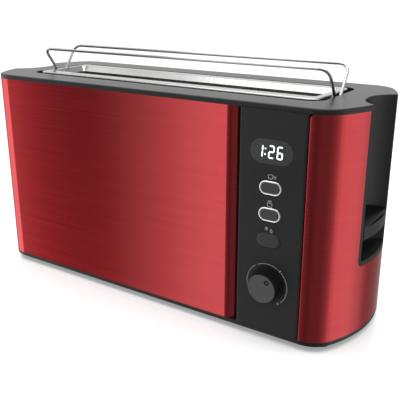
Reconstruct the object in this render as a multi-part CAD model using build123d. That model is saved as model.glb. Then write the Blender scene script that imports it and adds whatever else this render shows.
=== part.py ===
from build123d import *
import os
from math import sqrt, sin, cos, radians, atan2, degrees

# Long-slot pop-up toaster, free standing. Millimetres, +Z up. The origin is on the floor plane
# under the middle of the body; +X is the lever end, -Y is the front with the control strip.

os.makedirs("parts", exist_ok=True)

# body
body_len, body_wid = 385.0, 131.5
end_r, corner_r = 107.6, 24.4
foot_h, base_rim, panel_h, cover_rim = 5.0, 4.0, 180.0, 4.2
sheet_t = 0.8
z_base = foot_h
z_pan0 = z_base + base_rim
z_pan1 = z_pan0 + panel_h
z_top = z_pan1 + cover_rim
half_wid = body_wid / 2
end_cx = body_len / 2 - end_r
corner_cy = half_wid - corner_r
corner_cx = end_cx + sqrt((end_r - corner_r) ** 2 - corner_cy ** 2)
gap = 0.15

# control strip
strip_w, strip_proud, strip_t, strip_return = 55.1, 1.0, 2.2, 12.0
strip_side_t = 1.8
edge_fold_r = 1.3
strip_x1 = corner_cx - edge_fold_r
strip_x0 = strip_x1 - strip_w
strip_cx = (strip_x0 + strip_x1) / 2 - 0.3
strip_front = -half_wid - strip_proud
strip_back = strip_front + strip_t
roll_r, roll_deg = 12.0, 80.0
roll_x = strip_x0 - 0.2 - roll_r * sin(radians(roll_deg))
panel_corner_r = 5.0

# things on the strip
display_w, display_h, display_z = 35.5, 19.0, z_pan1 - 31.0
ring_w, ring_h, ring_line = 19.0, 12.0, 1.8
plain_w, plain_h = 20.0, 11.0
button_zs = {"button_reheat": z_pan1 - 58.8, "button_cancel": z_pan1 - 80.0, "button_defrost": z_pan1 - 101.0}
button_travel, button_clear, button_proud = 1.0, 0.25, 0.8
knob_z, knob_r, knob_collar_r, knob_out = 50.3, 12.3, 14.5, 10.5
knob_collar_t, knob_gap = 2.6, 0.4
shaft_r, shaft_clear, bushing_r = 3.0, 0.05, 4.5
board_t, board_y = 1.6, -half_wid + 9.25
pot_r = 8.0

# rear strip, cable gland
rear_w, rear_proud = 20.0, 0.8
rear_x1 = corner_cx - edge_fold_r
rear_x0 = rear_x1 - rear_w
gland_z, gland_r, gland_bore_r = 34.0, 7.0, 3.6

# end channels
notch_r, notch_depth_x = 32.4, 18.0
channel_wall, channel_border_y, channel_z0, channel_floor = 1.8, 31.0, 66.0, 4.0
channel_lower_r, lip_r, flange_w, flange_drop = 6.0, 1.5, 4.0, 4.0
notch_cx = body_len / 2 - notch_depth_x + notch_r
stem_t, stem_h, stem_clear = 2.4, 8.0, 1.4

# top opening and slot frame
well_end, well_y, well_r, well_wall = 40.0, 40.0, 13.0, 2.0
well_x = body_len / 2 - well_end
ledge_drop, ledge_t, ledge_lap_x, ledge_lap_y = 9.2, 2.0, 4.0, 5.0
ledge_z = z_top - ledge_drop
frame_end_gap, frame_y, frame_r, frame_t, frame_proud = 5.5, 33.3, 6.0, 0.6, 0.8
frame_x = well_x - frame_end_gap
frame_top = z_top + frame_proud
mouth_end, mouth_y = 5.5, 23.0
mouth_x = frame_x - mouth_end
slot_end, slot_y, slot_r = 3.5, 19.5, 1.0
slot_x = mouth_x - slot_end
funnel_z, slot_bottom = frame_top - 5.0, frame_top - 16.0

# folding bun rack
wire_r, wire_gap, rack_floor_gap, rack_leg_gap = 1.25, 1.9, 1.25, 1.75
rack_pivot_y, rack_pivot_z = wire_r + wire_gap / 2, ledge_z + rack_floor_gap + wire_r
rack_leg_x = frame_x + rack_leg_gap + wire_r
rack_reach, rack_rise = 19.3, 28.0
rack_out_y, rack_out_z = rack_pivot_y + rack_reach, rack_pivot_z + rack_rise
rack_bend_r, rack_elbow_r = 8.0, 2.6
rack_clear, rack_pin = 0.06, 1.2

# inside
plate_gap, plate_t, plate_side = 2.0, 1.0, 21.75
plate_x, plate_y = slot_x + plate_gap, half_wid - plate_side
plate_z0 = z_pan0 + 2.0
foot_lap, mount_in, plate_bolt_y = 8.0, 10.0, 14.0
mount_x, mount_y = plate_x + mount_in, plate_y - plate_bolt_y
boss_r, screw_r, screw_hole_r, head_r = 6.0, 1.95, 2.15, 3.6
carriage_x, carriage_t, carriage_half_y, carriage_z0 = plate_x + 10.0, 1.5, 18.5, 54.0
rod_r, rod_y, bush_t, lug_wall = 2.0, 13.0, 2.0, 1.5
lug_half, lug_z0, lug_h = rod_r + bush_t + lug_wall, 84.0, 20.0
rod_x = carriage_x + carriage_t + lug_half
rod_end = 6.0
lift_travel = 60.0
lift_z, lift_h, lift_t = 50.0, 10.0, 1.2
lever_z0, lever_z1, lever_z2, lever_gap = 87.5, 98.0, 104.5, 0.45
guide_y, guide_wire_r, guide_open = 13.2, 1.0, 4.5
heater_y, heater_t, heater_end = 25.0, 0.6, 4.0
heater_x = plate_x - heater_end
ribbon_w, ribbon_t, ribbon_n = 1.5, 0.2, 13
reflector_in, reflector_t, reflector_lip = 4.0, 0.5, 8.0
reflector_y = plate_y - reflector_in
spring_y, spring_r, spring_wire_r, spring_turns = 8.0, 3.2, 0.45, 20
spring_x = carriage_x - spring_r - 1.2
guide_z0, guide_z1 = 42.0, slot_bottom - 6.0
magnet_h = 15.95

# crumb tray and base
base_floor_t, base_up_t, base_up_h, base_wall = 2.0, 2.0, 15.0, 3.0
tray_end, tray_front, tray_h, tray_t = 10.0, 20.75, 9.0, 0.8
tray_x, tray_y0 = plate_x - tray_end, -half_wid + tray_front
tray_z0 = z_base + base_floor_t + 0.3
tray_clear, tray_front_z1, tray_pull = 1.0, tray_z0 + 12.1, 8.6
foot_r, foot_in_x, foot_in_y, foot_peg_r = 8.0, 10.0, 21.25, 3.0
foot_x, foot_y = corner_cx + foot_in_x, half_wid - foot_in_y


def plan(off=0.0):
    """The body's plan outline, moved inwards by off."""
    h, R, r = half_wid - off, end_r - off, corner_r - off
    a = atan2(corner_cy, corner_cx - end_cx)
    px, py = end_cx + R * cos(a), R * sin(a)
    mx, my = corner_cx + r * cos((a + radians(90)) / 2), corner_cy + r * sin((a + radians(90)) / 2)
    right = [
        ThreePointArc((corner_cx, -h), (mx, -my), (px, -py)),
        ThreePointArc((px, -py), (end_cx + R, 0), (px, py)),
        ThreePointArc((px, py), (mx, my), (corner_cx, h)),
    ]
    left = [
        ThreePointArc((-corner_cx, h), (-mx, my), (-px, py)),
        ThreePointArc((-px, py), (-end_cx - R, 0), (-px, -py)),
        ThreePointArc((-px, -py), (-mx, -my), (-corner_cx, -h)),
    ]
    edges = right + [Line((corner_cx, h), (-corner_cx, h))] + left + [Line((-corner_cx, -h), (corner_cx, -h))]
    return Face(Wire(edges))


def slab(face, z0, z1):
    return extrude(face.moved(Location((0, 0, z0))), z1 - z0, dir=(0, 0, 1))


def body(off, z0, z1):
    return slab(plan(off), z0, z1)


def box(x0, x1, y0, y1, z0, z1):
    return Pos((x0 + x1) / 2, (y0 + y1) / 2, (z0 + z1) / 2) * Box(abs(x1 - x0), abs(y1 - y0), abs(z1 - z0))


def rod_x_dir(x0, x1, y, z, r):
    return Pos((x0 + x1) / 2, y, z) * Rot(0, 90, 0) * Cylinder(r, abs(x1 - x0))


def rod_y_dir(x, y0, y1, z, r):
    return Pos(x, (y0 + y1) / 2, z) * Rot(90, 0, 0) * Cylinder(r, abs(y1 - y0))


def rod_z_dir(x, y, z0, z1, r):
    return Pos(x, y, (z0 + z1) / 2) * Cylinder(r, abs(z1 - z0))


def rounded(hx, hy, r, z0, z1):
    return slab((Sketch() + RectangleRounded(2 * hx, 2 * hy, r)).face(), z0, z1)


def front_shape(sketch, x, z, y0, y1):
    """A sketch standing in the front plane, centred on (x, z), carried from y0 to y1."""
    plane = Plane(origin=(x, y0, z), x_dir=(1, 0, 0), z_dir=(0, -1, 0))
    return extrude(plane * sketch, y0 - y1)


def pill(w, h):
    return SlotOverall(w, h)


def save(name, shape):
    solids = shape.solids() if hasattr(shape, "solids") else [s for p in shape for s in p.solids()]
    solids = list(solids)
    out = solids[0] if len(solids) == 1 else Compound(children=solids)
    out.label = name
    export_step(out, f"parts/{name}.step")


def notch(side, r, z0, z1):
    return rod_z_dir(side * notch_cx, 0, z0, z1, r)


def notched(off, z0, z1):
    """The plan outline with the end notches and rounded lips."""
    s = body(off, z0, z1) - notch(1, notch_r, z0 - 1, z1 + 1) - notch(-1, notch_r, z0 - 1, z1 + 1)
    lips = [e for e in s.edges().filter_by(Axis.Z)
            if abs(sqrt((abs(e.center().X) - notch_cx) ** 2 + e.center().Y ** 2) - notch_r) < 0.01]
    return fillet(lips, lip_r)


# ---------------------------------------------------------------- sheet-metal wrap
ring = body(0, z_pan0, z_pan1) - body(sheet_t, z_pan0 - 1, z_pan1 + 1)


def end_cut(side):
    h = z_pan1 + 20 - channel_z0
    s = Rectangle(2 * channel_border_y, h)
    s = fillet([v for v in s.vertices() if v.Y < 0], channel_lower_r)
    plane = Plane(origin=(side * (end_cx), 0, channel_z0 + h / 2), x_dir=(0, side, 0), z_dir=(side, 0, 0))
    return extrude(plane * s, end_r * 1.5)


def arc_sheet(cx, cy, r, a0, a1):
    """A strip of sheet bent round (cx, cy) from angle a0 to a1, in plan."""
    def at(rad, a):
        return (cx + rad * cos(radians(a)), cy + rad * sin(radians(a)))
    m = (a0 + a1) / 2
    w = Wire([
        ThreePointArc(at(r, a0), at(r, m), at(r, a1)),
        Line(at(r, a1), at(r - sheet_t, a1)),
        ThreePointArc(at(r - sheet_t, a1), at(r - sheet_t, m), at(r - sheet_t, a0)),
        Line(at(r - sheet_t, a0), at(r, a0)),
    ])
    return slab(Face(w), z_pan0, z_pan1)


def corner_tool(x, side):
    """What rounds a panel's top corner whose free edge is at x; the panel lies towards side."""
    r = panel_corner_r
    x2 = x + side * r
    return box(x - side * 1, x2, -half_wid - 1, -half_wid + 30, z_pan1 - r, z_pan1 + 1) - rod_y_dir(
        x2, -half_wid - 2, -half_wid + 31, z_pan1 - r, r)


big = 400.0
fold_leg = 5.0
left_keep = box(-big, roll_x, -big, big, 0, big) + box(-big, rear_x0 - edge_fold_r, 0, big, 0, big)
left_panel = (ring & left_keep) + arc_sheet(roll_x, -half_wid + roll_r, roll_r, -90, -90 + roll_deg)
left_panel += arc_sheet(rear_x0 - edge_fold_r, half_wid - edge_fold_r, edge_fold_r, 90, 0)
left_panel += box(rear_x0 - sheet_t, rear_x0, half_wid - edge_fold_r - fold_leg, half_wid - edge_fold_r, z_pan0, z_pan1)
left_panel -= end_cut(-1)
left_panel -= corner_tool(roll_x + roll_r * sin(radians(roll_deg)), -1)
left_panel -= box(-tray_x - tray_clear, tray_x + tray_clear, half_wid - 20, half_wid + 5, 0, tray_front_z1 + tray_clear)
save("left_panel", left_panel)

right_keep = box(corner_cx, big, -big, big, 0, big)
right_panel = (ring & right_keep) + arc_sheet(corner_cx, -half_wid + edge_fold_r, edge_fold_r, -90, -180)
right_panel += box(strip_x1, strip_x1 + sheet_t, -half_wid + edge_fold_r, -half_wid + edge_fold_r + fold_leg, z_pan0, z_pan1)
right_panel += arc_sheet(corner_cx, half_wid - edge_fold_r, edge_fold_r, 180, 90)
right_panel += box(rear_x1, rear_x1 + sheet_t, half_wid - edge_fold_r - fold_leg, half_wid - edge_fold_r, z_pan0, z_pan1)
right_panel -= end_cut(1)
right_panel -= corner_tool(strip_x1, 1)
save("right_panel", right_panel)

# ---------------------------------------------------------------- plastic strips front and rear
sx0, sx1 = strip_x0 + 0.0, strip_x1 - gap
strip = box(sx0, sx1, strip_front, strip_front + strip_return, z_pan0, z_pan1)
strip = fillet([e for e in strip.edges().filter_by(Axis.Z) if e.center().Y < strip_front + 0.1], 1.4)
strip -= box(sx0 + strip_side_t, sx1 - strip_side_t, strip_back, strip_front + strip_return + 1, z_pan0 + 2, z_pan1 - 2)
boss_x = [strip_x0 + 6.0, strip_x1 - 6.3]
boss_z = [z_pan0 + 25.0, z_pan1 - 16.5]
for x in boss_x:
    for z in boss_z:
        strip += rod_y_dir(x, strip_back, board_y, z, 2.6)
        strip -= rod_y_dir(x, strip_back + 2, board_y + 1, z, 1.2)
strip -= front_shape(pill(display_w, display_h), strip_cx, display_z, strip_front - 5, strip_back + 1)
ring_c = button_clear
for name, z in button_zs.items():
    w, h = (plain_w, plain_h) if name == "button_defrost" else (ring_w, ring_h)
    c = ring_c if name == "button_defrost" else 0.05
    strip -= front_shape(pill(w + 2 * c, h + 2 * c), strip_cx, z, strip_front - 5, strip_back + 1)
strip -= rod_y_dir(strip_cx, strip_front - 5, strip_back + 1, knob_z, bushing_r + 0.1)
save("control_panel", strip)

y1 = half_wid + rear_proud
rear = box(rear_x0 + gap, rear_x1 - gap, y1 - strip_return, y1, z_pan0, z_pan1)
rear = fillet([e for e in rear.edges().filter_by(Axis.Z) if e.center().Y > y1 - 0.1], 1.2)
rear -= box(rear_x0 + gap + strip_side_t, rear_x1 - gap - strip_side_t, y1 - strip_return - 1, y1 - strip_t, z_pan0 + 2, z_pan1 - 2)
rear -= rod_y_dir((rear_x0 + rear_x1) / 2, y1 - 5, y1 + 5, gland_z, gland_r - 1.2 + 0.05)
save("rear_column", rear)

rear_cx = (rear_x0 + rear_x1) / 2
gland = rod_y_dir(rear_cx, y1, y1 + 3.0, gland_z, gland_r)
gland = fillet(gland.edges().sort_by(Axis.Y)[-1], 1.0)
gland += rod_y_dir(rear_cx, y1 - strip_t, y1, gland_z, gland_r - 1.2)
gland += rod_y_dir(rear_cx, y1 - strip_t - 2.0, y1 - strip_t, gland_z, gland_r)
gland -= rod_y_dir(rear_cx, y1 - 10, y1 + 10, gland_z, gland_bore_r)
save("cord_gland", gland)

# ---------------------------------------------------------------- end channels
plug_x = body_len / 2 - 42.5


def channel(side):
    outer = body(0, channel_z0 + gap, z_pan1)
    h = z_pan1 - channel_z0 - gap
    s = Rectangle(2 * (channel_border_y - gap), h)
    s = fillet([v for v in s.vertices() if v.Y < 0], channel_lower_r - gap)
    plane = Plane(origin=(side * plug_x, 0, channel_z0 + gap + h / 2), x_dir=(0, side, 0), z_dir=(side, 0, 0))
    plug = outer & extrude(plane * s, 100)
    floor_z = channel_z0 + gap + channel_floor
    plug -= notch(side, notch_r, floor_z, z_pan1 + 5)
    back = body(channel_wall + 0.4, channel_z0 - 1, z_pan1 + 5) - notch(side, notch_r + channel_wall, channel_z0 - 2, z_pan1 + 6)
    plug -= back
    lips = [e for e in plug.edges().filter_by(Axis.Z)
            if abs(sqrt((abs(e.center().X) - notch_cx) ** 2 + e.center().Y ** 2) - notch_r) < 0.01 and e.length > 50]
    plug = fillet(lips, lip_r)
    flange = body(sheet_t + gap, channel_z0 - flange_drop, z_pan1) - body(channel_wall + 0.4, 0, big)
    flange &= box(side * plug_x, side * big, -channel_border_y - flange_w, channel_border_y + flange_w, 0, big)
    flange -= box(side * plug_x, side * big, -channel_border_y + 2.5, channel_border_y - 2.5, channel_z0 + 2, big)
    part = plug + flange
    if side > 0:
        part -= box(notch_cx - notch_r - 5, notch_cx - notch_r + 8, -stem_t / 2 - stem_clear, stem_t / 2 + stem_clear,
                    lever_z0 - 3, lever_z0 + stem_h + lift_travel + 3)
    return part


save("right_channel", channel(1))
save("left_channel", channel(-1))

# ---------------------------------------------------------------- top cover
cover = notched(0, z_pan1, z_top)
top_face = cover.faces().sort_by(Axis.Z)[-1]
cover = fillet(top_face.outer_wire().edges(), 1.4)
cover -= rounded(well_x, well_y, well_r, z_pan1 - 1, z_top + 1)
well_floor = ledge_z - ledge_t
cover += rounded(well_x + well_wall, well_y + well_wall, well_r + well_wall, well_floor, z_pan1) - rounded(
    well_x, well_y, well_r, ledge_z, z_top)
cover -= rounded(frame_x - ledge_lap_x, frame_y - ledge_lap_y, slot_r, well_floor - 1, ledge_z + 1)
skirt = body(sheet_t + gap, z_pan1 - 8, z_pan1) - body(sheet_t + gap + 1.8, z_pan1 - 9, z_pan1 + 1)
y_cut = channel_border_y + flange_w + 1
skirt -= box(-big, big, -y_cut, y_cut, 0, big)
skirt -= box(roll_x - 2, corner_cx + 2, -half_wid - 5, 0, 0, big)
skirt -= box(rear_x0 - 4, rear_x1 + 4, 0, half_wid + 5, 0, big)
cover += skirt
save("top_cover", cover)

# ---------------------------------------------------------------- slot frame
frame = rounded(frame_x, frame_y, frame_r, ledge_z, frame_top)
frame = fillet(frame.faces().sort_by(Axis.Z)[-1].edges(), 1.3)
frame -= rounded(frame_x - frame_t, frame_y - frame_t, frame_r - frame_t, ledge_z - 1, frame_top - frame_t)
frame -= rounded(mouth_x, mouth_y, slot_r + 2, ledge_z, frame_top + 1)


def funnel(t):
    a = Pos(0, 0, funnel_z) * RectangleRounded(2 * (slot_x + t), 2 * (slot_y + t), slot_r + t)
    b = Pos(0, 0, frame_top - 0.001) * RectangleRounded(2 * (mouth_x + t), 2 * (mouth_y + t), slot_r + 2 + t)
    return loft([a.face(), b.face()])


cone = funnel(frame_t) + rounded(slot_x + frame_t, slot_y + frame_t, slot_r + frame_t, slot_bottom, funnel_z)
cone -= funnel(0)
cone -= rounded(slot_x, slot_y, slot_r, slot_bottom - 1, funnel_z)
cone &= box(-big, big, -big, big, 0, frame_top - 0.1)
frame += cone
for s in (1, -1):
    for y in (rack_pivot_y, -rack_pivot_y):
        frame -= rod_x_dir(s * (frame_x - 3), s * (frame_x + 3), y, rack_pivot_z, wire_r + rack_clear)
save("slot_frame", frame)

for name, s in (("rack_bracket_right", 1), ("rack_bracket_left", -1)):
    xo, xi = frame_x - frame_t, mouth_x + frame_t + 0.5
    b = box(s * xi, s * xo, -7, 7, rack_pivot_z - 2.4, rack_pivot_z + 3.4)
    for y in (rack_pivot_y, -rack_pivot_y):
        b -= rod_x_dir(s * (xi - 2), s * (xo + 2), y, rack_pivot_z, wire_r + rack_clear)
    save(name, b)

# ---------------------------------------------------------------- folding bun rack
dy, dz = rack_out_y - rack_pivot_y, rack_out_z - rack_pivot_z
leg = sqrt(dy * dy + dz * dz)
pin_x = mouth_x + frame_t + rack_pin
for name, s in (("front_rack_wire", -1), ("rear_rack_wire", 1)):
    n = Vector(0, -dz / leg, s * dy / leg) if s > 0 else Vector(0, -dz / leg, -dy / leg)
    up = Vector(0, s * dy / leg, dz / leg)
    plane = Plane(origin=(0, s * rack_pivot_y, rack_pivot_z), x_dir=(1, 0, 0), z_dir=Vector(1, 0, 0).cross(up))
    pts = [(pin_x, 0), (rack_leg_x, 0), (rack_leg_x, leg), (-rack_leg_x, leg), (-rack_leg_x, 0), (-pin_x, 0)]
    path = plane * FilletPolyline(*pts, radius=[rack_elbow_r, rack_bend_r, rack_bend_r, rack_elbow_r])
    start = Plane(origin=(pin_x, s * rack_pivot_y, rack_pivot_z), z_dir=(1, 0, 0))
    save(name, sweep(start * Circle(wire_r), path=path))

# ---------------------------------------------------------------- display, rings, buttons, knob
win_out = 0.15
window = front_shape(pill(display_w - 0.1, display_h - 0.1), strip_cx, display_z, strip_front - win_out, strip_back)
window += front_shape(pill(display_w + 3, display_h + 3), strip_cx, display_z, strip_back, strip_back + 0.8)
save("display_window", window)
display = box(strip_cx - 19, strip_cx + 19, strip_back + 0.8, board_y, display_z - 11.0, display_z + 11.0)
display = fillet(display.edges().filter_by(Axis.Y), 1.0)
save("display_module", display)

switch_h = 3.4
for name, z in button_zs.items():
    lit = name != "button_defrost"
    w, h = (ring_w - 2 * ring_line, ring_h - 2 * ring_line) if lit else (plain_w, plain_h)
    if lit:
        r = front_shape(pill(ring_w, ring_h), strip_cx, z, strip_front - 0.5, strip_back)
        r += front_shape(pill(ring_w + 2.4, ring_h + 2.4), strip_cx, z, strip_back, strip_back + 1.0)
        r -= front_shape(pill(w + 2 * button_clear, h + 2 * button_clear), strip_cx, z, strip_front - 5, strip_back + 5)
        save("ring_" + name[7:], r)
    front = strip_front - button_proud - (0.3 if lit else 0)
    b = front_shape(pill(w, h), strip_cx, z, front, strip_back + 1.0)
    b = fillet(b.faces().sort_by(Axis.Y)[0].edges(), 0.5)
    b += front_shape(pill(w + 1.2, h + 1.2), strip_cx, z, strip_back + 1.25, strip_back + 2.05)
    b += front_shape(pill(w, h), strip_cx, z, strip_back + 1.0, strip_back + 1.25)
    b += rod_y_dir(strip_cx, strip_back + 2.0, board_y - switch_h - button_travel - 0.1, z, 1.6)
    save(name, b)

switches = []
for z in button_zs.values():
    b = box(strip_cx - 3, strip_cx + 3, board_y - 2.4, board_y, z - 3, z + 3)
    b += rod_y_dir(strip_cx, board_y - switch_h, board_y - 2.4, z, 1.7)
    switches.append(b)
save("tact_switches", switches)

board = box(strip_x0 + 3.2, strip_x1 - 3.5, board_y, board_y + board_t, z_pan0 + 19, z_pan1 - 12)
for x in boss_x:
    for z in boss_z:
        board -= rod_y_dir(x, board_y - 1, board_y + board_t + 1, z, 1.5)
save("control_board", board)

screws = []
for x in boss_x:
    for z in boss_z:
        b = rod_y_dir(x, board_y - 4.5, board_y + board_t, z, 1.15)
        b += rod_y_dir(x, board_y + board_t, board_y + board_t + 1.6, z, 2.4)
        cross = box(x - 1.3, x + 1.3, board_y + board_t + 0.8, board_y + board_t + 3, z - 0.3, z + 0.3)
        cross += box(x - 0.3, x + 0.3, board_y + board_t + 0.8, board_y + board_t + 3, z - 1.3, z + 1.3)
        screws.append(b - cross)
save("board_screws", screws)

pot = rod_y_dir(strip_cx, strip_back + 0.3, board_y, knob_z, pot_r)
pot += rod_y_dir(strip_cx, strip_front - 0.2, strip_back + 0.3, knob_z, bushing_r)
pot -= rod_y_dir(strip_cx, strip_front - 5, board_y - 2.0, knob_z, shaft_r + shaft_clear)
save("potentiometer", pot)

knob_back = strip_front - knob_gap
knob_face = -half_wid - knob_out
shaft = rod_y_dir(strip_cx, knob_face + 3.0, board_y - 2.1, knob_z, shaft_r)
shaft -= box(strip_cx - 5, strip_cx + 5, knob_face, knob_back - 1.0, knob_z + 1.6, knob_z + 5)
save("knob_shaft", shaft)
knob = rod_y_dir(strip_cx, knob_back - knob_collar_t, knob_back, knob_z, knob_collar_r)
knob = fillet(knob.edges().sort_by(Axis.Y)[0], 1.2)
knob += rod_y_dir(strip_cx, knob_face, knob_back - 0.5, knob_z, knob_r + 0.0)
rim_edge = [e for e in knob.edges() if e.center().Y < knob_face + 0.01]
knob = chamfer(rim_edge, 0.7)
knob -= rod_y_dir(strip_cx, knob_face - 1, knob_face + 0.7, knob_z, knob_r - 1.6)
bore = rod_y_dir(strip_cx, knob_face + 2.9, knob_back + 1, knob_z, shaft_r + 0.02)
bore -= box(strip_cx - 5, strip_cx + 5, knob_face, knob_back - 1.0, knob_z + 1.62, knob_z + 5)
knob -= bore
knob -= rod_y_dir(strip_cx, knob_back - 0.4, knob_back + 1, knob_z, bushing_r + 0.6)
dot = rod_y_dir(strip_cx + 4.5, knob_face + 0.2, knob_face + 1.4, knob_z + 6.3, 1.7)
knob -= dot
save("browning_knob", knob)

# ---------------------------------------------------------------- lever and carriage
inner = body(0, lever_z0, lever_z2) & notch(1, notch_r - lever_gap, lever_z0, lever_z2)
handle = inner
cx = body_len / 2
wedge_h = lever_z2 - lever_z1
# the top face rises from the front edge towards the back of the channel
prof = make_face(Polyline((cx + 5, 0, lever_z1), (cx - 2, 0, lever_z1), (cx - notch_depth_x, 0, lever_z2),
                          (cx - notch_depth_x, 0, lever_z2 + 20), (cx + 5, 0, lever_z2 + 20), close=True))
handle -= extrude(prof, 60, both=True)
handle = handle.solids().sort_by(SortBy.VOLUME)[-1]
handle = fillet([e for e in handle.edges() if e.center().X > cx - 4 and abs(e.center().Z - lever_z0) < 0.01], 1.0)
stem_z0 = lever_z0 + 0.5
arm_x0, arm_x1 = carriage_x + carriage_t, body_len / 2 - 6.0
handle -= box(notch_cx - notch_r - 5, arm_x1 + 0.05, -stem_t / 2 - 0.05, stem_t / 2 + 0.05, stem_z0 + 1 - 0.05, stem_z0 + 1 + stem_h - 2 + 0.05)
save("lever_handle", handle)

arm = box(arm_x0, arm_x1, -stem_t / 2, stem_t / 2, stem_z0 + 1, stem_z0 + stem_h - 1)
arm += box(arm_x0, notch_cx - notch_r - 6, -stem_t / 2, stem_t / 2, stem_z0 - 2, stem_z0 + stem_h + 3)
save("lever_arm", arm)

lug_x0 = carriage_x + carriage_t
carriage = box(carriage_x, carriage_x + carriage_t, -carriage_half_y, carriage_half_y, carriage_z0, lug_z0 + lug_h)
carriage = fillet([e for e in carriage.edges().filter_by(Axis.X)], 2.0)
carriage += box(carriage_x - 7.8, carriage_x, -carriage_half_y + 3, carriage_half_y - 3, carriage_z0, carriage_z0 + 1.5)
carriage += box(carriage_x, rod_x + 3, -8, 8, carriage_z0, carriage_z0 + 1.5)
for s in (1, -1):
    carriage += box(lug_x0 - 0.1, rod_x + lug_half, s * rod_y - lug_half, s * rod_y + lug_half, lug_z0, lug_z0 + lug_h)
    carriage -= rod_z_dir(rod_x, s * rod_y, lug_z0 - 1, lug_z0 + lug_h + 1, rod_r + bush_t + 0.02)
slot_y2 = lift_t / 2 + 0.05
carriage -= box(carriage_x - 10, carriage_x + carriage_t, -slot_y2, slot_y2, carriage_z0 - 1, lift_z + lift_h + 0.05)
save("carriage_bracket", carriage)

bushes = []
for s in (1, -1):
    b = rod_z_dir(rod_x, s * rod_y, lug_z0, lug_z0 + lug_h, rod_r + bush_t) - rod_z_dir(
        rod_x, s * rod_y, lug_z0 - 1, lug_z0 + lug_h + 1, rod_r + 0.05)
    bushes.append(b)
save("carriage_bushes", bushes)

keeper_t = 2.0
keeper = box(carriage_x, rod_x + 3, -8, 8, carriage_z0 - keeper_t, carriage_z0)
save("keeper_plate", keeper)

lift_x0 = plate_x + plate_t
lift = box(-lift_x0 - 4, carriage_x + carriage_t - 0.05, -lift_t / 2, lift_t / 2, lift_z, lift_z + lift_h)
n_prong = 14
for i in range(n_prong):
    x = -slot_x + 12 + i * (2 * slot_x - 24) / (n_prong - 1)
    lift += box(x - 1, x + 1, -8.5, 8.5, lift_z + lift_h - 2, lift_z + lift_h)
lift -= box(carriage_x - 6, carriage_x + 5, -3, 3, lift_z - 1, carriage_z0)
save("bread_lift", lift)

# ---------------------------------------------------------------- chassis end plates
flange_z1 = well_floor


def end_plate(side):
    x0, x1 = plate_x, plate_x + plate_t
    tab_x = rod_x + rod_end
    p = box(side * x0, side * x1, -plate_y, plate_y, plate_z0, flange_z1)
    p += box(side * x0, side * (well_x if side < 0 else tab_x), -rod_y - 7, rod_y + 7, flange_z1 - 1.5, flange_z1)
    p += box(side * x0, side * tab_x, -plate_y + foot_lap, plate_y - foot_lap, plate_z0, plate_z0 + 1.5)
    p -= box(side * (x0 - 1), side * (x1 + 1), -lift_t / 2 - 1.6, lift_t / 2 + 1.6, lift_z - 3, lift_z + lift_h + lift_travel + 3)
    for s in (1, -1):
        for z in (guide_z0, guide_z1):
            ya, yb = guide_y - guide_wire_r - 0.3, guide_y + guide_wire_r + guide_open + 0.3
            p -= box(side * (x0 - 1), side * (x1 + 1), s * ya, s * yb, z - guide_wire_r - 0.15, z + guide_wire_r + 0.15)
        p -= rod_z_dir(side * mount_x, s * mount_y, plate_z0 - 1, plate_z0 + 3, screw_r + 0.05)
    if side > 0:
        for s in (1, -1):
            p -= rod_z_dir(rod_x, s * rod_y, plate_z0 - 1, plate_z0 + 3, rod_r + 0.02)
            p -= rod_z_dir(rod_x, s * rod_y, flange_z1 - 3, flange_z1 + 1, rod_r + 0.02)
        p += box(x0, rod_x + 3, -9, 9, magnet_z0 - 1.5, magnet_z0)
        p += box(x0, x0 + 16, -plate_y, -plate_y + 1, 20, 110)
        p += box(x0, x0 + 16, plate_y - 1, plate_y, 20, 60)
    return p


magnet_z0 = carriage_z0 - keeper_t - 0.05 - magnet_h
save("right_end_plate", end_plate(1))
save("left_end_plate", end_plate(-1))

rods = [rod_z_dir(rod_x, s * rod_y, plate_z0 + 0.2, flange_z1, rod_r) for s in (1, -1)]
save("guide_rods", rods)

magnet_top = carriage_z0 - keeper_t - 0.05
magnet = box(carriage_x - 4, rod_x + 3, -8, 8, magnet_z0, magnet_z0 + 2.5)
magnet += rod_z_dir(carriage_x + 3, 0, magnet_z0 + 2.5, magnet_top - 1.5, 6.0)
magnet += rod_z_dir(carriage_x + 3, 0, magnet_top - 1.5, magnet_top, 3.6)
magnet += box(rod_x + 0.5, rod_x + 3, -8, 8, magnet_z0, magnet_top)
save("latch_magnet", magnet)

sz0, sz1 = carriage_z0 + 1.5 + spring_wire_r + 0.05, flange_z1 - 1.5 - spring_wire_r - 0.05
pitch = (sz1 - sz0) / spring_turns
coil = Helix(pitch=pitch, height=sz1 - sz0, radius=spring_r - spring_wire_r, center=(spring_x, spring_y, sz0))
spring = sweep(Plane(origin=coil @ 0, z_dir=coil % 0) * Circle(spring_wire_r), path=coil, is_frenet=True)
save("lift_spring", spring)

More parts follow.
